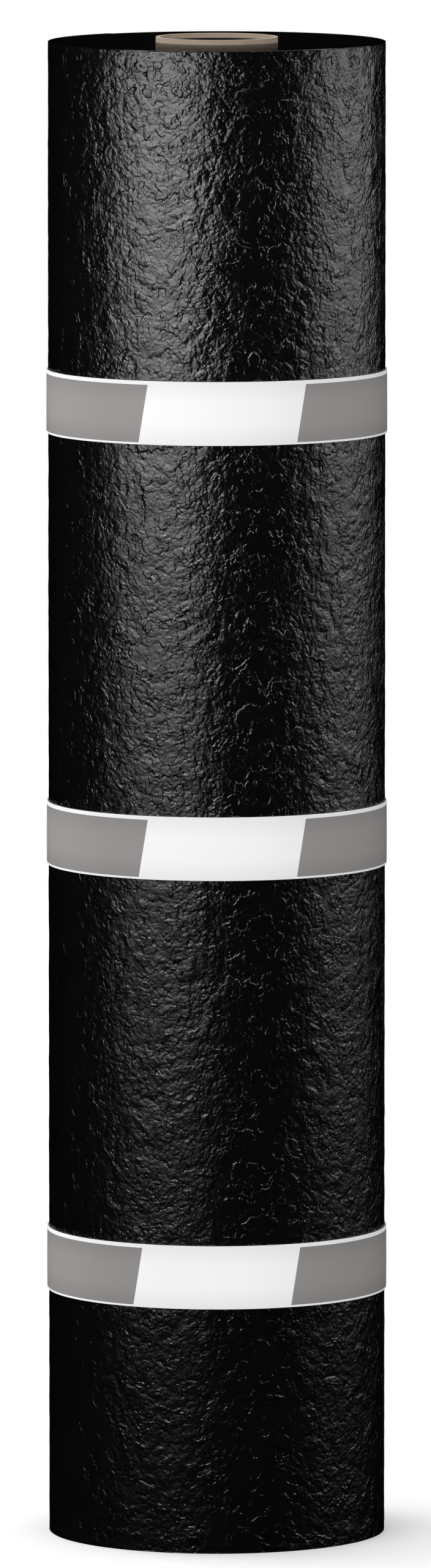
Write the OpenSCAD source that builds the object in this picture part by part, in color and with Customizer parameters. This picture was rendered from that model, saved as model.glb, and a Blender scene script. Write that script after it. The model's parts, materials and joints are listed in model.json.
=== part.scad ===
// Roll of roofing felt, standing on its end.
// The bitumen sheet is wound on a cardboard core tube and held shut by three paper bands.
// Frame: +Z up along the roll's axis, origin at the middle of the end that it stands on, front towards -Y.

/* [Felt roll] */
// Width of the felt sheet, which is the height of the standing roll
sheet_width = 1000; // [600:10:1200]
// Outer diameter of the wound roll
roll_d = 225; // [160:1:320]
// Thickness of the felt sheet
sheet_t = 3.4; // [2.5:0.1:5]
// Width of the groove between two turns on an end
turn_groove_w = 0.9; // [0.4:0.1:1.2]
// Depth of the groove between two turns on an end
turn_groove_depth = 0.8; // [0.3:0.1:2]
// Chamfer on the outer rim of both ends
rim_chamfer = 0.5; // [0.2:0.1:1]
// Direction of the sheet's loose end, seen from above, counted from +X
loose_end_angle = 130; // [100:1:170]

/* [Core tube] */
// Bore of the cardboard core
core_bore_d = 76; // [50:1:80]
// Wall of the cardboard core
core_wall = 2.7; // [2:0.1:4]
// Length of the cardboard core
core_length = 1000; // [600:1:1200]
// How far the core stands out of the upper end
core_proud = 3; // [1:0.5:10]
// Radial clearance between the core and the innermost turn
core_clearance = 0.2; // [0.1:0.05:0.5]

/* [Bands] */
// Width of a paper band
band_width = 42.2; // [25:0.1:60]
// Thickness of a paper band
band_t = 0.8; // [0.3:0.1:1.2]
// Radial clearance between a band and the roll
band_clearance = 0.4; // [0.1:0.1:0.6]
// Length of the glued lap where a band's ends meet
band_lap = 38; // [20:1:60]
// Direction of the middle of the lap, seen from above, counted from +X
band_lap_angle = 45; // [30:1:60]
// Height of the lower band's middle above the lower end
lower_band_up = 185.3; // [100:0.1:220]
// Height of the middle band's middle above the roll's mid-height
middle_band_up = -28.5; // [-40:0.1:40]
// Drop of the upper band's middle below the upper end
upper_band_down = 239.5; // [100:0.1:250]
// Turn of the lower band about the roll, against the other two
lower_band_turn = -2.4; // [-10:0.1:10]

/* [Hidden] */
$fn = 180;
roll_r = roll_d / 2;
core_bore_r = core_bore_d / 2;
core_r = core_bore_r + core_wall;
core_bottom = sheet_width + core_proud - core_length;
felt_bore_r = core_r + core_clearance;
turns = round((roll_r - felt_bore_r) / sheet_t);
turn_pitch = (roll_r - felt_bore_r) / turns;
band_r = roll_r + band_clearance;
band_lap_sweep = band_lap / band_r * 180 / PI;
// Overshoot of a cutting solid past the face that it cuts
cut_over = 1;

// The end of one turn, as points of the half section: a land with a groove beside it
function turn_end(turn, end_z, inward) =
    let (inner = felt_bore_r + turn * turn_pitch, outer = inner + turn_pitch, last = turn == turns - 1)
    [
        [inner + turn_groove_w / 2, end_z],
        [outer - (last ? rim_chamfer : turn_groove_w / 2), end_z],
        [outer, end_z + inward * (last ? rim_chamfer : turn_groove_depth)]
    ];

// One end of the half section, from the bore out to the rim
function end_profile(end_z, inward) = concat(
    [[felt_bore_r, end_z + inward * turn_groove_depth]],
    [for (turn = [0 : turns - 1]) each turn_end(turn, end_z, inward)]
);

function reversed(points) = [for (i = [len(points) - 1 : -1 : 0]) points[i]];

// All turns as one turned body, with the joints between them as rings on both ends
module wound_turns() {
    rotate_extrude()
        polygon(concat(end_profile(0, 1), reversed(end_profile(sheet_width, -1))));
}

// What the outer turn leaves bare past the sheet's loose end: a crescent one sheet deep
// at the end's own face, which runs out to nothing a quarter of the way round
module bare_past_loose_end() {
    under_r = sqrt(pow(roll_r, 2) + pow(sheet_t, 2));
    translate([0, 0, -cut_over])
        rotate(loose_end_angle)
            linear_extrude(sheet_width + 2 * cut_over)
                intersection() {
                    difference() {
                        circle(roll_r + cut_over);
                        translate([-sheet_t, 0]) circle(under_r);
                    }
                    translate([0, -roll_d]) square(roll_d);
                }
}

module felt_roll() {
    color([0.02, 0.02, 0.02])
        difference() {
            wound_turns();
            bare_past_loose_end();
        }
}

module core_tube() {
    color([0.62, 0.55, 0.46])
        translate([0, 0, core_bottom])
            difference() {
                cylinder(r = core_r, h = core_length);
                translate([0, 0, -cut_over])
                    cylinder(r = core_bore_r, h = core_length + 2 * cut_over);
            }
}

// Wedge about +X, wide enough to reach past the lap
module lap_wedge() {
    reach = 2 * band_r;
    half = band_lap_sweep / 2;
    polygon([[0, 0], reach * [cos(half), -sin(half)], reach * [cos(half), sin(half)]]);
}

// A paper strip round the roll, with its outer end glued down over its inner end
module band(middle_z, turn) {
    color([0.93, 0.93, 0.92])
        translate([0, 0, middle_z - band_width / 2])
            rotate(band_lap_angle + turn)
                linear_extrude(band_width)
                    difference() {
                        union() {
                            circle(band_r + band_t);
                            intersection() {
                                circle(band_r + 2 * band_t);
                                lap_wedge();
                            }
                        }
                        circle(band_r);
                    }
}

felt_roll();
core_tube();
band(lower_band_up, lower_band_turn);  // band_lower
band(sheet_width / 2 + middle_band_up, 0);  // band_middle
band(sheet_width - upper_band_down, 0);  // band_upper
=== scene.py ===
"""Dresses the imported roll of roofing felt: lumpy bitumen sheet, cardboard core, paper bands and stage."""

import json
import math
from typing import NamedTuple

import bmesh
import bpy
import numpy as np
from bpy.props import FloatProperty, FloatVectorProperty, IntProperty, PointerProperty
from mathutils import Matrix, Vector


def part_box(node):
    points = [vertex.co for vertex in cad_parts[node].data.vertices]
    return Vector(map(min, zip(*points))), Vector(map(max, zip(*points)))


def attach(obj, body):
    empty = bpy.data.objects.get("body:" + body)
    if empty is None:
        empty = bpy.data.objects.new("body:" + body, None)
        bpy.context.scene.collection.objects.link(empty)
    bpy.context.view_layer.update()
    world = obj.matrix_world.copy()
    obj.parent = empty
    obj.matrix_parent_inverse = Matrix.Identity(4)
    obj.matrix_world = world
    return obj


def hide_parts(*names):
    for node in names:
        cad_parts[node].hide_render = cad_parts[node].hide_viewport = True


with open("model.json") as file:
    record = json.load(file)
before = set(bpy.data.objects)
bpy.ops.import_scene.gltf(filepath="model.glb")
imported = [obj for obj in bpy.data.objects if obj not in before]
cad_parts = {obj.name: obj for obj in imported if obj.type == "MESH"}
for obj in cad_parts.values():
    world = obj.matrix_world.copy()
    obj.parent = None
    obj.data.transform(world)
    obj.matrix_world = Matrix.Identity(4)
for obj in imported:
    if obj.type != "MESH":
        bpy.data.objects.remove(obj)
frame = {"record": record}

bl_info = {
    "name": "Roll of roofing felt",
    "version": (1, 0, 0),
    "blender": (4, 5, 0),
    "location": "3D View > Sidebar > Roofing felt",
    "description": "Makes the bitumen sheet, cardboard core, paper bands and stage of a standing roll",
    "category": "Object",
}

MM = 0.001
TURN = 2 * math.pi
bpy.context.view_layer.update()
FELT_LOW, FELT_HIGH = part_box("felt_roll")
CORE_LOW, CORE_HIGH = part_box("core_tube")
CORE_BORE = next(m for m in frame["record"]["mounts"] if m["name"] == "core_bore")["dims"]["r_mm"] * MM
BAND_NODES = ("band_lower", "band_middle", "band_upper")

# Lumps and grain of the bitumen: their size, and their height in millimetres over a whole unit of noise.
LUMPS = ((11 * MM, 1.3), (5.5 * MM, 0.5))
GRAIN = ((1.4 * MM, 0.18),)
# Pebbles: their size, their height in millimetres, the share of it everywhere and the share added in patches.
PEBBLES = (2.7 * MM, 0.38, 0.6, 0.5)
# Flows: their size, the noise's octaves, the flows over a unit of noise, the share of a flow that its steep
# edge takes, and a flow's height in millimetres.
FLOWS = ((16 * MM, 3.0, 7.0, 0.28, 0.4), (7 * MM, 2.0, 4.0, 0.32, 0.2))

# Focal length and picture height in pixels, as fitted to the photo, and the sensor's height in millimetres.
FOCAL_PIXELS, PICTURE_PIXELS, SENSOR = 26404.3, 2560, 36

# Section of the groove between two turns: shares of its width and of its depth.
GROOVE = ((0.0, 0.0), (0.38, 0.18), (0.5, 1.0), (0.62, 0.18), (1.0, 0.0))

# Seeds of the random heights: the wall's lumps, its swells and the waves of the sheet's edge.
LUMP_SEED, SWELL_SEED, EDGE_SEED = 11, 12, 21

# Points closer than this are one point.
WELD = 0.002 * MM

# Direction from which the light from all round is strongest.
AMBIENT_FROM = (-0.8, -0.6, 0)
# Radius and height of the overhead discs: the softbox, and the sheet that only the gloss sees.
TOP_DISC = (0.7, 2.6)
SHEEN_DISC = (2.0, 4.0)
# The black cloth far round the stage: its radius, and the heights of its ground and its roof.
CLOTH_REACH = 6.0
CLOTH_HEIGHTS = (-3.0, 5.0)
# The black flag, above the upper end: its lower edge, where it starts to fade, and its upper edge.
FLAG_ABOVE = (0.02, 0.09, 0.12)
# A ramp that ends below every sheet, so that the sheet's light is even.
EVEN = (-9.0, -8.0)


class Sheet(NamedTuple):
    """A curved upright sheet of light about the roll: directions from the front in degrees, and heights.

    Its light rises between the two heights of the ramp, and over the feather's degrees from its first side.
    """

    name: str
    across: tuple
    heights: tuple
    ramp: tuple = EVEN
    feather: float = 0.0


LEFT_BOX = Sheet("left_box", across=(-77, -11), heights=(-0.25, 2.6), ramp=(-0.37, 1.53), feather=28)
RIGHT_BOX = Sheet("right_box", across=(60, 124), heights=(-0.5, 4.0), ramp=(-0.55, 1.45), feather=22)
LOW_BOX = Sheet("low_box", across=(-64, 8), heights=(0.02, 0.45))
LEFT_FILL = Sheet("left_fill", across=(-98, -142), heights=(-0.2, 2.0))
RIGHT_FILL = Sheet("right_fill", across=(98, 142), heights=(-0.2, 2.0))
REAR_BOX = Sheet("rear_box", across=(145, 215), heights=(1.6, 2.8))
BACK_SHEET = Sheet("back_sheet", across=(163, 197), heights=(-0.6, 0.99 * FELT_HIGH.z), ramp=(-0.6, 1.5))


def length(name, description, default):
    """A property that holds a length in metres."""
    return FloatProperty(name=name, description=description, default=default, precision=5, unit="LENGTH")


def share(name, description, default):
    """A property that holds a plain number."""
    return FloatProperty(name=name, description=description, default=default, precision=4)


def angle(name, description, degrees):
    """A property that holds an angle, given in degrees and kept in radians."""
    return FloatProperty(
        name=name, description=description, default=math.radians(degrees), subtype="ANGLE", unit="ROTATION"
    )


def colour(name, description, default):
    """A property that holds a linear colour."""
    return FloatVectorProperty(
        name=name, description=description, default=default, size=3, min=0, max=1, subtype="COLOR"
    )


class FeltSettings(bpy.types.PropertyGroup):
    """Sizes and finish of the wound bitumen sheet."""

    columns: IntProperty(name="Columns", description="Odd number of points round the wall", default=263)
    rows: IntProperty(name="Rows", description="Number of points up the wall", default=268)
    turns: IntProperty(name="Turns", description="Turns of the sheet on the core", default=21)
    bore: length("Bore radius", "Radius that the first turn is wound on", 40.9 * MM)
    rim: length("Rim chamfer", "Chamfer on the outer edge of both ends", 0.2 * MM)
    groove: length("Groove depth", "Depth of the groove between two turns on an end", 0.8 * MM)
    groove_share: share("Groove width", "Share of a turn's thickness that the groove and its lips take", 0.27)
    edge_wave: length("Edge wave", "How far a turn's edge wanders from the flat end", 0.12 * MM)
    loose_end: angle("Loose end", "Direction of the sheet's loose end, counted from +X", 130)
    lump: length("Lump size", "Size of the modelled lumps on the wall", 13 * MM)
    lump_height: length("Lump height", "Height of the modelled lumps on the wall", 0.16 * MM)
    swell: length("Swell size", "Size of the broad swells on the wall", 34 * MM)
    swell_height: length("Swell height", "Height of the broad swells on the wall", 0.08 * MM)
    bitumen: colour("Bitumen", "Colour of the bitumen coating", (0.0020, 0.0019, 0.0019))
    cut: colour("Cut bitumen", "Colour of the bitumen on the sheet's cut edges", (0.0038, 0.0037, 0.0037))
    cut_roughness: share("Cut roughness", "Roughness of the cut edges", 0.10)
    coat_roughness: share("Coating roughness", "Roughness that the coating adds to it", 0.07)
    patch_roughness: share("Patch roughness", "Roughness that the duller patches of the coating add", 0.08)


class CoreSettings(bpy.types.PropertyGroup):
    """Sizes and colours of the cardboard core."""

    columns: IntProperty(name="Columns", description="Points round the core", default=160)
    rows: IntProperty(name="Rows", description="Points along the core's wall", default=60)
    rim: length("Rim rounding", "Rounding of the core's cut edges", 0.15 * MM)
    ply: length("Ply width", "Width of the paper strip that the core is wound from", 110 * MM)
    seam: length("Seam depth", "Depth of the helical seam between two windings", 0.12 * MM)
    kraft: colour("Kraft paper", "Colour of the core's paper", (0.411, 0.333, 0.255))
    kraft_dark: colour("Dark kraft", "Colour of the darker fibres and the ply lines", (0.273, 0.217, 0.161))
    # Painted shade: colour of the core's inside below a short lip at each end, standing for the shade deep in
    # the bore.
    bore_shade: colour("Stain", "Colour of the core's inside, blackened by bitumen", (0.0045, 0.0038, 0.0030))
    # Depth below each end of the core at which the painted shade in the bore begins.
    clean: length("Clean lip", "Depth to which the core's inside is clean paper", 3.1 * MM)


class BandSettings(bpy.types.PropertyGroup):
    """Sizes and colours of the printed paper bands."""

    columns: IntProperty(name="Columns", description="Points round a band", default=361)
    rows: IntProperty(name="Rows", description="Points across a band's outer face", default=9)
    inside: length("Inner radius", "Radius of a band's inner face", 112.9 * MM)
    paper: length("Paper", "Thickness of a band", 0.8 * MM)
    lap: length("Lap", "Length of the glued lap", 38 * MM)
    lap_angle: angle("Lap direction", "Direction of the middle of the lap, counted from +X", 45)
    lower_turn: angle("Lower band's turn", "Turn of the lower band against the other two", -2.1)
    ripple: length("Ripple", "How far the paper ripples over the lumps below it", 0.05 * MM)
    top_border: length("Upper border", "White border along the upper edge", 2.5 * MM)
    bottom_border: length("Lower border", "White border along the lower edge", 1.35 * MM)
    panel_middle: angle("White panel's middle", "Direction of its middle, right of the front", 2.15)
    panel_width: angle("White panel's width", "Angle that the white panel covers", 55.0)
    slant: angle("Slant", "Angle that the panel's edges lean over each millimetre of height", 0.0884)
    # Painted shade: a band's paper and ink are darkened towards its upper and lower edges, over this width.
    edge_shade: length("Edge shade", "Width along the edges that handling has greyed", 16 * MM)
    white: colour("White paper", "Colour of the clean unprinted paper", (0.97, 0.97, 0.965))
    # Painted shade: white paper is coloured darker the higher its band sits, to offset the stronger light on
    # the upper bands.
    painted_top_shade: share("Dust", "Share of brightness that dust takes from white paper at the upper end", 0.117)
    grey: colour("Grey print", "Colour of the printed panels", (0.276, 0.264, 0.258))


class StageSettings(bpy.types.PropertyGroup):
    """Camera, floor and lights."""

    camera_back: length("Camera distance", "Distance of the camera in front of the roll's axis", 10.7514)
    camera_up: length("Camera height", "Height of the camera above the floor", 1.65507)
    camera_aside: length("Camera aside", "How far the camera stands left of the roll's axis", 0.86 * MM)
    camera_pitch: angle("Camera pitch", "Angle that the camera looks down", 6.117)
    lens: share("Lens", "Focal length in millimetres", FOCAL_PIXELS / PICTURE_PIXELS * SENSOR)
    floor: colour("Floor", "Colour of the pale floor", (0.97, 0.97, 0.97))
    floor_reach: length("Floor reach", "Radius at which the floor has faded into the backdrop", 0.36)
    left_reach: length("Left softbox distance", "Distance of the left softbox from the roll's axis", 1.0)
    right_reach: length("Right softbox distance", "Distance of the right softbox from the roll's axis", 1.8)
    low_reach: length("Low softbox distance", "Distance of the low softbox from the roll's axis", 0.95)
    fill_reach: length("Fill distance", "Distance of both fills from the roll's axis", 1.302)
    rear_reach: length("Rear softbox distance", "Distance of the rear softbox from the roll's axis", 1.4)
    back_reach: length("Back sheen distance", "Distance of the back sheen from the roll's axis", 0.35)
    flag_reach: length("Flag distance", "Distance of the black flag from the roll's axis", 0.25)
    ambient: share("Ambient", "Strength of the light that comes from all round", 0.945)
    lean: share("Ambient lean", "How much stronger the light from all round is at the front left", 0.28)
    left_strength: share("Left softbox", "Strength of the left softbox", 2.47)
    right_strength: share("Right softbox", "Strength of the right softbox", 1.2)
    top_strength: share("Top softbox", "Strength of the overhead softbox", 3.2)
    low_strength: share("Low softbox", "Strength of the low softbox at the front left, for the foot", 1.13)
    left_fill: share("Left fill", "Strength of the fill behind on the left, for the paper's side", 2.9)
    right_fill: share("Right fill", "Strength of the fill behind on the right, for the paper's side", 0.8)
    sheen_strength: share("Overhead sheen", "Strength of the overhead sheet that only the gloss sees", 0.4)
    back_strength: share("Back sheen", "Strength of the sheet close behind that only the gloss sees", 1.1)
    rear_strength: share("Rear softbox", "Strength of the softbox that hangs high behind", 1.6)


class RollSettings(bpy.types.PropertyGroup):
    """All settings of the roll, in groups."""

    felt: PointerProperty(type=FeltSettings)
    core: PointerProperty(type=CoreSettings)
    band: PointerProperty(type=BandSettings)
    stage: PointerProperty(type=StageSettings)


class Wire:
    """A shader socket that takes part in Python arithmetic: each operation adds one Math node."""

    def __init__(self, paint, socket):
        self.paint = paint
        self.socket = socket

    def math(self, operation, first, second=0.0, third=0.0):
        return self.paint.node("ShaderNodeMath", {"operation": operation}, {0: first, 1: second, 2: third})

    def __add__(self, other):
        return self.math("ADD", self, other)

    def __radd__(self, other):
        return self.math("ADD", other, self)

    def __sub__(self, other):
        return self.math("SUBTRACT", self, other)

    def __rsub__(self, other):
        return self.math("SUBTRACT", other, self)

    def __mul__(self, other):
        return self.math("MULTIPLY", self, other)

    def __rmul__(self, other):
        return self.math("MULTIPLY", other, self)

    def __truediv__(self, other):
        return self.math("DIVIDE", self, other)

    def __pow__(self, other):
        return self.math("POWER", self, other)

    def __abs__(self):
        return self.math("ABSOLUTE", self)

    def __mod__(self, other):
        return self.math("FLOORED_MODULO", self, other)

    def most(self, other):
        return self.math("MAXIMUM", self, other)

    def least(self, other):
        return self.math("MINIMUM", self, other)

    def stepped(self, edge):
        """The whole numbers below and above, joined by an eased edge that takes this share of a step."""
        part = self % 1.0
        return self - part + part.rise(0.5 - edge / 2, 0.5 + edge / 2)

    def rise(self, low, high):
        """0 below low and 1 above high, with an eased rise between them."""
        sockets = {"Value": self, "From Min": low, "From Max": high}
        return self.paint.node("ShaderNodeMapRange", {"interpolation_type": "SMOOTHSTEP"}, sockets)


class Paint:
    """The nodes of one material or world, each made by one method."""

    def __init__(self, owner, surface):
        owner.use_nodes = True
        self.owner = owner
        self.tree = owner.node_tree
        self.tree.nodes.clear()
        self.surface = surface
        self.place = self.node("ShaderNodeTexCoord", output="Object")

    def node(self, kind, settings=None, sockets=None, output=0):
        """A new node of this kind, with its settings and each socket's value or link; gives an output."""
        made = self.tree.nodes.new(kind)
        for name, value in (settings or {}).items():
            setattr(made, name, value)
        for name, value in (sockets or {}).items():
            if isinstance(value, Wire):
                self.tree.links.new(value.socket, made.inputs[name])
            else:
                made.inputs[name].default_value = value
        return Wire(self, made.outputs[output]) if made.outputs else None

    def noise(self, place, size, detail=2.0, roughness=0.5):
        """Noise from 0 to 1 whose coarsest grains are about this size in metres."""
        grain = {"Vector": place, "Scale": 1 / size, "Detail": detail, "Roughness": roughness}
        return self.node("ShaderNodeTexNoise", {"noise_dimensions": "3D"}, grain)

    def stretched(self, place, scale):
        """The place with each axis multiplied by its own number."""
        return self.node("ShaderNodeVectorMath", {"operation": "MULTIPLY"}, {0: place, 1: scale})

    def pushed(self, place, size, reach):
        """The place moved by up to about reach in a direction that wanders over this size."""
        grain = {"Vector": place, "Scale": 1 / size, "Detail": 1.0}
        wander = self.node("ShaderNodeTexNoise", {}, grain, "Color")
        middle = (0.5, 0.5, 0.5)
        centred = self.node("ShaderNodeVectorMath", {"operation": "SUBTRACT"}, {0: wander, 1: middle})
        step = self.node("ShaderNodeVectorMath", {"operation": "SCALE"}, {0: centred, "Scale": 2 * reach})
        return self.node("ShaderNodeVectorMath", {"operation": "ADD"}, {0: place, 1: step})

    def axes(self):
        """The place's x, y and z."""
        parts = self.node("ShaderNodeSeparateXYZ", {}, {0: self.place}).socket.node
        return tuple(Wire(self, out) for out in parts.outputs)

    def mixed(self, factor, low, high):
        """The colour low where factor is 0 and high where it is 1."""
        low_socket, high_socket, colour_output = 6, 7, 2
        low, high = ((*side, 1) if isinstance(side, tuple) else side for side in (low, high))
        sockets = {0: factor, low_socket: low, high_socket: high}
        return self.node("ShaderNodeMix", {"data_type": "RGBA"}, sockets, colour_output)

    def relief(self, height):
        """A normal bent by a height given in millimetres."""
        return self.node("ShaderNodeBump", {}, {"Strength": 1.0, "Distance": MM, "Height": height})

    def finish(self, sockets):
        """Puts the surface shader on the output, with these values or links on its sockets."""
        shader = self.node(self.surface, {}, sockets)
        owner_kind = "World" if isinstance(self.owner, bpy.types.World) else "Material"
        self.node("ShaderNodeOutput" + owner_kind, {}, {"Surface": shader})
        return self.owner


def new_paint(name):
    """A new material with a Principled surface."""
    return Paint(bpy.data.materials.new(name), "ShaderNodeBsdfPrincipled")


def rgb(value):
    """A colour property as a plain tuple."""
    return tuple(value)


def paint_bitumen(settings):
    """Glossy black bitumen: flows that lie over each other, lumps, pebbles and grain; the ends are smooth.

    A flow's height is a noise cut into flat steps with steep edges. The height of lumps and grain is the
    distance of a wandering noise from its middle value, so that the noise is folded there: a crevice runs
    along each fold and a rounded lump stands between the folds. A pebble's height falls with the square of
    the distance to the nearest of many scattered points, so that it is a round dome, tallest in patches.
    """
    paint = new_paint("glossy_bitumen")
    height_up = paint.axes()[2]
    rim_fade = (0.25 * MM, 0.8 * MM)
    wall = (height_up - FELT_LOW.z).least(FELT_HIGH.z - height_up).rise(*rim_fade)
    wander_size, wander_reach, patch_size, break_size = 6 * MM, 2 * MM, 20 * MM, 9 * MM
    patch_edge, break_edge = (0.40, 0.62), (0.38, 0.62)
    least_flow, added_flow = 0.25, 0.9
    mean_fold, dome_top = 0.1, 0.3
    wandering = paint.pushed(paint.place, wander_size, wander_reach)
    patches = paint.noise(paint.place, patch_size, 1.0).rise(*patch_edge)
    flows = sum(
        ((paint.noise(paint.place, size, octaves) - 0.5) * count).stepped(edge) * tall
        for size, octaves, count, edge, tall in FLOWS
    )
    broken = paint.noise(paint.place, break_size, 0.0).rise(*break_edge) * added_flow + least_flow
    lumps, grain = (
        sum((abs(paint.noise(wandering, size, 0.0) - 0.5) - mean_fold) * tall for size, tall in folds)
        for folds in (LUMPS, GRAIN)
    )
    pebble_size, pebble_height, everywhere, in_patches = PEBBLES
    cells = {"Vector": wandering, "Scale": 1 / pebble_size}
    away = paint.node("ShaderNodeTexVoronoi", {"voronoi_dimensions": "3D"}, cells, "Distance")
    pebbles = (dome_top - away * away) * pebble_height * (patches * in_patches + everywhere)
    height = flows * broken + lumps + grain + pebbles
    dulling = patches * settings.patch_roughness + settings.coat_roughness
    return paint.finish({
        "Base Color": paint.mixed(wall * (patches * 0.5 + 0.5), rgb(settings.cut), rgb(settings.bitumen)),
        "Roughness": wall * dulling + settings.cut_roughness,
        "IOR": 2.2,
        "Normal": paint.relief(height * wall),
    })


def paint_kraft(settings, core_top, core_bottom):
    """Brown kraft paper: fibres, ply lines on the cut edge, and painted shade that colours the inside near
    black below a short lip at each end.
    """
    paint = new_paint("kraft_cardboard")
    x, y, z = paint.axes()
    radius = (x * x + y * y) ** 0.5
    fibre_size, cloud_size, waver_size = 3 * MM, 18 * MM, 1.2 * MM
    ply_thickness, ply_waver = 0.45 * MM, 0.12 * MM
    cut_from, cut_to = core_top - 0.5 * MM, core_top - 0.25 * MM
    skin, lip, lower_lip = (CORE_BORE + 0.3 * MM, CORE_BORE + 0.6 * MM), 0.15 * MM, 2 * MM
    fibres = paint.noise(paint.stretched(paint.place, (1.0, 1.0, 5.0)), fibre_size, 4.0, 0.6)
    cloud = paint.noise(paint.place, cloud_size, 2.0)
    plies = paint.noise(paint.stretched(paint.place, (1.0, 1.0, 0.0)), waver_size, 1.0)
    rings = abs(((radius + plies * ply_waver) / ply_thickness) % 1.0 - 0.5) * 2
    cut = z.rise(cut_from, cut_to)
    tone = fibres.rise(0.35, 0.7) * 0.35 + cloud * 0.3 + cut * rings.rise(0.55, 0.95) * 0.45
    paper = paint.mixed(tone, rgb(settings.kraft), rgb(settings.kraft_dark))
    # Painted shade: the bore's inner face turns near black deeper than the lip at each end, where shade falls
    # in the tube.
    inner = 1 - radius.rise(*skin)
    deep = (core_top - z).rise(settings.clean - lip, settings.clean + lip)
    low = (z - core_bottom).rise(settings.clean, settings.clean + lower_lip)
    return paint.finish({
        "Base Color": paint.mixed(inner * deep * low, paper, rgb(settings.bore_shade)),
        "Roughness": fibres * 0.15 + 0.68,
        "Normal": paint.relief(fibres * 0.06 + plies * cut * 0.05),
    })


def paint_band(settings, name, low, high, turn):
    """Coated paper with a white border, and grey panels either side of a white one with leaning edges."""
    paint = new_paint("printed_paper_" + name)
    x, y, z = paint.axes()
    from_front = x.math("ARCTAN2", x, 0 - y)
    middle = (low + high) / 2
    lean = (z - middle) * (settings.slant / MM)
    across = abs(from_front - lean - (settings.panel_middle + turn))
    soft, edge = 0.0008, 0.08 * MM
    fibre_size, cloud_size = 1.6 * MM, 25 * MM
    darkest_paper, edge_shaded_ink = 0.9, 0.84
    beside = across.rise(settings.panel_width / 2 - soft, settings.panel_width / 2 + soft)
    under = 1 - z.rise(high - settings.top_border - edge, high - settings.top_border + edge)
    over = z.rise(low + settings.bottom_border - edge, low + settings.bottom_border + edge)
    fibres = paint.noise(paint.place, fibre_size, 4.0, 0.6)
    cloud = paint.noise(paint.place, cloud_size, 2.0)
    printed = beside * under * over * (fibres * 0.06 + 0.96)
    # Painted shade: darkest at the band's upper and lower edges, gone at the edge-shade width from them.
    painted_edge_shade = 1 - (z - low).least(high - z).rise(0.0, settings.edge_shade)
    shade = cloud * 0.05 + painted_edge_shade
    # Painted shade: the white is darker the higher the band's upper edge.
    top_shading = 1 - settings.painted_top_shade * high / FELT_HIGH.z
    white = tuple(c * top_shading for c in settings.white)
    paper = paint.mixed(shade, white, tuple(c * darkest_paper for c in white))
    ink = paint.mixed(painted_edge_shade, rgb(settings.grey), tuple(c * edge_shaded_ink for c in settings.grey))
    return paint.finish({
        "Base Color": paint.mixed(printed, paper, ink),
        "Roughness": fibres * 0.12 + printed * 0.06 + 0.42,
        "IOR": 1.45,
        "Normal": paint.relief(fibres * 0.015 + cloud * 0.05),
    })


def grid_faces(ids, close_rows=False, close_columns=False):
    """Quads between neighbours in a grid of point numbers; closing joins its last line to its first."""
    if close_rows:
        ids = np.vstack([ids, ids[:1]])
    if close_columns:
        ids = np.hstack([ids, ids[:, :1]])
    corners = (ids[:-1, :-1], ids[:-1, 1:], ids[1:, 1:], ids[1:, :-1])
    return np.stack(corners, axis=-1).reshape(-1, 4)


def round_points(radius, turn, height):
    """Points at these radii, angles from +X and heights, which are arrays that broadcast together."""
    radius, turn, height = np.broadcast_arrays(radius, turn, height)
    return np.stack([radius * np.cos(turn), radius * np.sin(turn), height], axis=-1).reshape(-1, 3)


def new_object(name, points, faces, material, weld=False, crease=math.radians(38)):
    """A smooth mesh object from points and arrays of faces; weld merges points and caps open loops."""
    mesh = bpy.data.meshes.new(name)
    corners = np.concatenate([f.ravel() for f in faces]).astype(np.int32)
    counts = np.concatenate([np.full(len(f), f.shape[1]) for f in faces])
    mesh.vertices.add(len(points))
    mesh.vertices.foreach_set("co", np.asarray(points, np.float32).ravel())
    mesh.loops.add(len(corners))
    mesh.loops.foreach_set("vertex_index", corners)
    mesh.polygons.add(len(counts))
    mesh.polygons.foreach_set("loop_start", (np.cumsum(counts) - counts).astype(np.int32))
    mesh.update(calc_edges=True)
    if weld:
        shell = bmesh.new()
        shell.from_mesh(mesh)
        bmesh.ops.remove_doubles(shell, verts=shell.verts, dist=WELD)
        bmesh.ops.holes_fill(shell, edges=[e for e in shell.edges if e.is_boundary])
        bmesh.ops.recalc_face_normals(shell, faces=shell.faces)
        shell.to_mesh(mesh)
        shell.free()
    mesh.shade_smooth()
    mesh.set_sharp_from_angle(angle=crease)
    mesh.materials.append(material)
    made = bpy.data.objects.new(name, mesh)
    bpy.context.scene.collection.objects.link(made)
    return made


def seat(piece, node):
    """Makes the piece ride with the roll, and hides the CAD node that it stands for."""
    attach(piece, "root")
    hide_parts(node)


def rough_field(rows, columns, tall, wide, size, seed):
    """A seamless random height of unit spread whose bumps have about one size.

    Seeded white noise is filtered: its spectrum is multiplied by a bell curve about the bumps' own frequency.
    """
    flattening, spread = 1.25, 0.55
    noise = np.random.default_rng(seed).standard_normal((rows, columns))
    upward = np.fft.fftfreq(rows, tall / rows)[:, None] / flattening
    around = np.fft.fftfreq(columns, wide / columns)[None, :]
    frequency = np.hypot(upward, around) * size
    kept = np.exp(-(((frequency - 1) / spread) ** 2))
    field = np.fft.ifft2(np.fft.fft2(noise) * kept).real
    return field / field.std()


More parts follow.
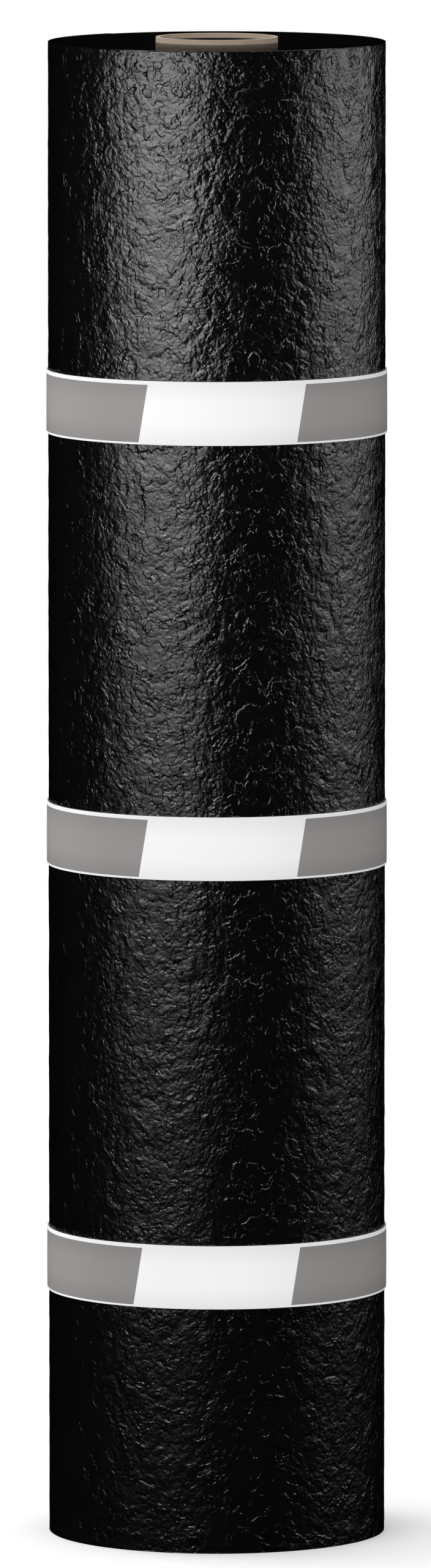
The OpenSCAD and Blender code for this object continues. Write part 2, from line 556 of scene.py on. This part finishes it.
def felt_wall(settings, radius, low, high, turn, step_in):
    """Points of the wall, bottom to top: a cylinder less the step past the loose end, plus lumps and swells.

    The lumps are a random height folded about zero, so that crevices run between rounded tops.
    The relief fades out over the last millimetres before each rim.
    """
    rows, columns = settings.rows, settings.columns
    height = np.linspace(low + settings.rim, high - settings.rim, rows)[:, None]
    grid = (rows, columns - 1, high - low, TURN * radius)
    flat_top, rounding, middle = 1.6, 0.7, 0.85
    folded = np.abs(rough_field(*grid, 2 * settings.lump, LUMP_SEED))
    lumps = np.minimum(folded, flat_top) ** rounding - middle
    swells = np.tanh(rough_field(*grid, settings.swell, SWELL_SEED))
    relief = settings.lump_height * lumps + settings.swell_height * swells
    relief = np.hstack([relief, relief[:, :1]])
    fade_width, tallest = 3 * MM, 0.3 * MM
    fade = np.clip(np.minimum(height - low, high - height) / fade_width - 0.2, 0, 1)
    return round_points(radius - step_in + np.minimum(relief, tallest) * fade, turn, height)


def felt_end(settings, radius, end, inward, turn, step_in):
    """Points of one end, from the bore to the rim: the sheet's wound edge, with a groove beside each turn.

    A turn's radius is the bore plus whole turns, less the same step as the wall past the loose end, so that
    each turn runs into the next one there. Its edge wanders in slow waves of the angle along the sheet.
    """
    pitch = (radius - settings.bore) / settings.turns
    parts = settings.groove_share * np.array([part for part, depth in GROOVE])
    sunk = settings.groove * np.tile([depth for part, depth in GROOVE], settings.turns)[:, None]
    count = (np.arange(settings.turns)[:, None] + parts).reshape(-1, 1)
    along = turn - TURN * np.repeat(np.arange(settings.turns), len(parts))[:, None]
    rates = np.array([0.31, 0.73, 1.37, 2.9])
    phases = np.random.default_rng(EDGE_SEED).uniform(0, TURN, len(rates))
    waves = np.sin(along[..., None] * rates + phases).mean(axis=-1)
    depth = sunk + settings.edge_wave * (0.5 + 0.5 * waves)
    reach = settings.bore + pitch * count - step_in
    rounding = 1e-9
    inner = reach <= settings.bore + rounding
    height = end + inward * np.where(inner, settings.groove, depth)
    return round_points(np.maximum(reach, settings.bore), turn, height)


class FELT_OT_lay_sheet(bpy.types.Operator):
    """Make the wound bitumen sheet: lumpy wall with its loose end, and both ends with their turns."""

    bl_idname = "roofing_felt.lay_sheet"
    bl_label = "Bitumen sheet"

    def execute(self, context):
        settings = context.scene.roofing_felt.felt
        columns, half = settings.columns, settings.columns // 2 + 1
        radius, low, high = FELT_HIGH.x, FELT_LOW.z, FELT_HIGH.z
        pitch = (radius - settings.bore) / settings.turns
        turn = settings.loose_end + np.linspace(0, TURN, columns)[None, :]
        short_of_end = np.minimum(settings.loose_end + TURN - turn, TURN / 4)
        step_in = pitch * np.maximum(np.cos(short_of_end), 0)
        wall = felt_wall(settings, radius, low, high, turn, step_in)
        ids = np.arange(len(wall)).reshape(-1, columns)
        faces = [grid_faces(ids, close_columns=True)]
        points = [wall]
        bores = []
        for end, inward in ((low, 1), (high, -1)):
            first = sum(len(p) for p in points)
            rim = round_points(radius - settings.rim - step_in, turn, end)
            points += [rim, felt_end(settings, radius, end, inward, turn[:, ::2], step_in[:, ::2])]
            rim_ids = first + np.arange(columns)[None, :]
            end_ids = first + columns + np.arange(len(points[-1])).reshape(-1, half)
            wall_edge = ids[:1] if inward > 0 else ids[-1:]
            outer = end_ids[-1]
            fan = (rim_ids[0, :-2:2], rim_ids[0, 1:-1:2], rim_ids[0, 2::2], outer[1:], outer[:-1])
            chamfer = grid_faces(np.vstack([rim_ids, wall_edge]))
            faces += [chamfer, grid_faces(end_ids), np.stack(fan, axis=-1)]
            bores.append(end_ids[0])
        faces.append(grid_faces(np.stack(bores)))
        piece = new_object("felt_sheet", np.vstack(points), faces, paint_bitumen(settings), weld=True)
        seat(piece, "felt_roll")
        return {"FINISHED"}


class FELT_OT_make_core(bpy.types.Operator):
    """Make the cardboard core: a tube with rounded cut edges and the helical seam of its winding."""

    bl_idname = "roofing_felt.make_core"
    bl_label = "Cardboard core"

    def execute(self, context):
        settings = context.scene.roofing_felt.core
        low, high, outer = CORE_LOW.z, CORE_HIGH.z, CORE_HIGH.x
        turn = np.linspace(0, TURN, settings.columns, endpoint=False)[None, :]
        easing = np.linspace(0, math.pi / 2, 5)
        curve_in, curve_up = settings.rim * (1 - np.cos(easing)), settings.rim * (1 - np.sin(easing))
        side = np.linspace(low + settings.rim, high - settings.rim, settings.rows)
        radius = np.concatenate([np.full(len(side), outer), outer - curve_in[1:], CORE_BORE + curve_in[::-1]])
        height = np.concatenate([side, high - curve_up[1:], high - curve_up[::-1]])
        radius = np.concatenate([radius, np.full(len(side) - 2, CORE_BORE)])
        height = np.concatenate([height, side[-2:0:-1]])
        radius = np.concatenate([radius, CORE_BORE + curve_in, outer - curve_in[:0:-1]])
        height = np.concatenate([height, low + curve_up, low + curve_up[:0:-1]])
        winding = height[:, None] / settings.ply - turn / TURN
        seam_width = 0.8 * MM
        seam = np.exp(-((np.abs(winding % 1 - 0.5) * settings.ply / seam_width) ** 2)) * settings.seam
        on_wall = np.abs(height - (low + high) / 2)[:, None] < (high - low) / 2 - 2 * settings.rim
        outward = np.where(radius > (outer + CORE_BORE) / 2, -1, 1)[:, None]
        points = round_points(radius[:, None] + outward * seam * on_wall, turn, height[:, None])
        ids = np.arange(len(points)).reshape(-1, settings.columns)
        material = paint_kraft(settings, high, low)
        piece = new_object("core_cardboard", points, [grid_faces(ids, True, True)], material, weld=True)
        seat(piece, "core_tube")
        return {"FINISHED"}


class FELT_OT_wrap_bands(bpy.types.Operator):
    """Make the three printed paper bands, each with the glued lap where its ends meet."""

    bl_idname = "roofing_felt.wrap_bands"
    bl_label = "Paper bands"

    def execute(self, context):
        settings = context.scene.roofing_felt.band
        for node in BAND_NODES:
            low, high = (corner.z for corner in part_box(node))
            twist = settings.lower_turn if node == "band_lower" else 0.0
            points, faces = band_strip(settings, low, high, settings.lap_angle + twist)
            material = paint_band(settings, node, low, high, twist)
            piece = new_object("paper_" + node, points, [faces], material, weld=True)
            seat(piece, node)
        return {"FINISHED"}


def band_strip(settings, low, high, lap_middle):
    """Points and faces of one band: a closed section carried round the roll, from end to end of the strip.

    The outer face steps up by one paper over the lap: at once at the strip's cut end, and in an eased rise
    where the paper climbs over its own hidden end. A product of two slow waves ripples the outer face.
    """
    outer = settings.inside + settings.paper
    sweep = settings.lap / outer
    turn = lap_middle + sweep / 2 + np.linspace(0, TURN, settings.columns)[None, :]
    past = lap_middle + sweep / 2 + TURN - turn
    climb = 6 * MM / outer
    eased = np.clip((past - sweep) / climb, 0, 1)
    lapped = 1 - eased * eased * (3 - 2 * eased)
    lift = settings.paper * lapped
    bevel = 0.15 * MM
    across = np.linspace(low + bevel, high - bevel, settings.rows)
    height = np.concatenate([[low], across, [high, high, low]])[:, None]
    depth = np.concatenate([[bevel], np.zeros(settings.rows), [bevel]])[:, None]
    short_waves, long_waves, phase, tilt = 23, 9, 1.3, 9 * MM
    ripple = settings.ripple * np.sin(turn * short_waves + phase) * np.sin(turn * long_waves + height / tilt)
    faces_out = outer + lift - depth + ripple[: len(depth)]
    faces_in = np.full((2, settings.columns), settings.inside)
    points = round_points(np.vstack([faces_out, faces_in]), turn, height)
    ids = np.arange(len(points)).reshape(-1, settings.columns)
    return points, grid_faces(ids, close_rows=True, close_columns=True)


def stage_object(name, points, faces, material, **seen_by):
    """A stage piece, with the kinds of ray that see it."""
    made = new_object(name, points, [faces], material)
    for ray, sees in seen_by.items():
        setattr(made, "visible_" + ray, sees)
    return made


def disc(reach, height, rings=24, columns=96):
    """Points and faces of a flat disc: rings at even radii about a pinhole on the axis."""
    pinhole = 1 * MM
    radius = np.linspace(pinhole, reach, rings)[:, None]
    turn = np.linspace(0, TURN, columns, endpoint=False)[None, :]
    points = round_points(radius, turn, height)
    return points, grid_faces(np.arange(len(points)).reshape(rings, columns), close_columns=True)


def arc(reach, across, heights, rows=12, columns=24):
    """Points and faces of an upright curved sheet about the axis, between two directions in degrees."""
    turn = np.radians(np.linspace(*across, columns))[None, :] - TURN / 4
    points = round_points(reach, turn, np.linspace(*heights, rows)[:, None])
    return points, grid_faces(np.arange(len(points)).reshape(rows, columns))


def paint_floor(settings):
    """A pale floor that fades away from the roll, so that the white backdrop takes over."""
    paint = Paint(bpy.data.materials.new("pale_floor"), "ShaderNodeMixShader")
    x, y, z = paint.axes()
    reach = (x * x + y * y) ** 0.5
    full_share, grain_size = 0.28, 0.2
    faded = reach.rise(full_share * settings.floor_reach, settings.floor_reach)
    grain = paint.noise(paint.place, grain_size, 2.0)
    pale = paint.mixed(grain * 0.1, rgb(settings.floor), tuple(c * 0.97 for c in settings.floor))
    matte = paint.node("ShaderNodeBsdfDiffuse", {}, {"Color": pale})
    return paint.finish({0: faded, 1: matte, 2: paint.node("ShaderNodeBsdfTransparent")})


def paint_flag():
    """Black cloth that fades away upwards, hung round the roll to keep the softboxes off its upper end."""
    paint = Paint(bpy.data.materials.new("black_flag"), "ShaderNodeMixShader")
    above = paint.axes()[2] - FELT_HIGH.z
    black = paint.node("ShaderNodeBsdfDiffuse", {}, {"Color": (0, 0, 0, 1)})
    clear = paint.node("ShaderNodeBsdfTransparent")
    return paint.finish({0: above.rise(*FLAG_ABOVE[1:]), 1: black, 2: clear})


def paint_softbox(name, strength, ramp=EVEN, side=0.0, feather=0.0):
    """Light that eases from dark to full between the ramp's heights, and over a feather from one side."""
    paint = Paint(bpy.data.materials.new(name), "ShaderNodeEmission")
    paint.owner.cycles.emission_sampling = "NONE"
    x, y, z = paint.axes()
    level = z.rise(*ramp) ** 2
    if feather:
        from_front = x.math("ARCTAN2", x, 0 - y)
        level = level * from_front.rise(math.radians(side), math.radians(side + feather))
    return paint.finish({"Color": paint.mixed(level, (0.0, 0.0, 0.0), (1.0, 1.0, 1.0)), "Strength": strength})


def paint_world(settings):
    """White where the camera, a reflection or a clear piece sees it, and else a soft light from all round."""
    world = bpy.data.worlds.new("white_backdrop")
    world.cycles.sampling_method = "NONE"
    paint = Paint(world, "ShaderNodeBackground")
    rays = paint.node("ShaderNodeLightPath").socket.node.outputs
    seen = Wire(paint, rays["Is Camera Ray"]).most(Wire(paint, rays["Is Glossy Ray"]))
    seen = seen.most(Wire(paint, rays["Is Transmission Ray"]))
    sides = {0: paint.place, 1: AMBIENT_FROM}
    aim = paint.node("ShaderNodeVectorMath", {"operation": "DOT_PRODUCT"}, sides, "Value")
    ambient = (aim * settings.lean + 1) * settings.ambient
    return paint.finish({"Color": (1, 1, 1, 1), "Strength": ambient * (1 - seen) + seen})


class FELT_OT_set_stage(bpy.types.Operator):
    """Set the stage: pale floor, softboxes, black cloth that only the gloss sees, backdrop and camera."""

    bl_idname = "roofing_felt.set_stage"
    bl_label = "Stage"

    def execute(self, context):
        scene = context.scene
        settings = scene.roofing_felt.stage
        unseen = {"camera": False, "shadow": False}
        dull = {**unseen, "glossy": False}
        hidden = dict.fromkeys(("camera", "diffuse", "transmission", "volume_scatter", "shadow"), False)
        stage_object("floor", *disc(settings.floor_reach, 0.0), paint_floor(settings), glossy=False)
        for sheet, strength, reach, seen_by in (
            (LEFT_BOX, settings.left_strength, settings.left_reach, unseen),
            (RIGHT_BOX, settings.right_strength, settings.right_reach, unseen),
            (LOW_BOX, settings.low_strength, settings.low_reach, dull),
            (LEFT_FILL, settings.left_fill, settings.fill_reach, dull),
            (RIGHT_FILL, settings.right_fill, settings.fill_reach, dull),
            (REAR_BOX, settings.rear_strength, settings.rear_reach, dull),
            (BACK_SHEET, settings.back_strength, settings.back_reach, hidden),
        ):
            light = paint_softbox(sheet.name, strength, sheet.ramp, sheet.across[0], sheet.feather)
            stage_object(sheet.name, *arc(reach, sheet.across, sheet.heights), light, **seen_by)
        top = paint_softbox("top_box", settings.top_strength)
        stage_object("top_box", *disc(*TOP_DISC), top, **dull)
        sheen = paint_softbox("sheen_sheet", settings.sheen_strength)
        stage_object("sheen_sheet", *disc(*SHEEN_DISC), sheen, **hidden)
        all_round = (0, 360)
        flag_heights = (FELT_HIGH.z + FLAG_ABOVE[0], FELT_HIGH.z + FLAG_ABOVE[-1])
        flag = arc(settings.flag_reach, all_round, flag_heights, columns=65)
        stage_object("black_flag", *flag, paint_flag(), **hidden)
        paint = Paint(bpy.data.materials.new("black_cloth"), "ShaderNodeBsdfDiffuse")
        cloth = paint.finish({"Color": (0, 0, 0, 1)})
        stage_object("cloth_wall", *arc(CLOTH_REACH, all_round, CLOTH_HEIGHTS, columns=65), cloth, **hidden)
        for name, height in zip(("cloth_ground", "cloth_roof"), CLOTH_HEIGHTS):
            stage_object(name, *disc(CLOTH_REACH, height), cloth, **hidden)
        scene.world = paint_world(settings)
        scene.view_settings.view_transform = "Standard"
        camera = bpy.data.objects.new("camera", bpy.data.cameras.new("camera"))
        camera.data.lens = settings.lens
        camera.data.clip_end = 100
        camera.location = (-settings.camera_aside, -settings.camera_back, settings.camera_up)
        camera.rotation_euler = (math.pi / 2 - settings.camera_pitch, 0, 0)
        scene.collection.objects.link(camera)
        scene.camera = camera
        return {"FINISHED"}


class FELT_PT_roll(bpy.types.Panel):
    """Lists the pieces of the roll in the sidebar."""

    bl_idname = "FELT_PT_roll"
    bl_label = "Roll of roofing felt"
    bl_space_type = "VIEW_3D"
    bl_region_type = "UI"
    bl_category = "Roofing felt"

    def draw(self, context):
        for operator in OPERATORS:
            self.layout.operator(operator.bl_idname)
        for group in context.scene.roofing_felt.bl_rna.properties.keys():
            if group not in ("rna_type", "name"):
                box = self.layout.box()
                box.label(text=group.capitalize())
                settings = getattr(context.scene.roofing_felt, group)
                for name in settings.__annotations__:
                    box.prop(settings, name)


OPERATORS = (FELT_OT_lay_sheet, FELT_OT_make_core, FELT_OT_wrap_bands, FELT_OT_set_stage)
CLASSES = (FeltSettings, CoreSettings, BandSettings, StageSettings, RollSettings, *OPERATORS, FELT_PT_roll)


def register():
    for cls in CLASSES:
        bpy.utils.register_class(cls)
    bpy.types.Scene.roofing_felt = PointerProperty(type=RollSettings)


def unregister():
    del bpy.types.Scene.roofing_felt
    for cls in reversed(CLASSES):
        bpy.utils.unregister_class(cls)


def main():
    """Registers the classes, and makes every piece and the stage."""
    register()
    bpy.ops.roofing_felt.lay_sheet()
    bpy.ops.roofing_felt.make_core()
    bpy.ops.roofing_felt.wrap_bands()
    bpy.ops.roofing_felt.set_stage()


if __name__ == "__main__":
    main()
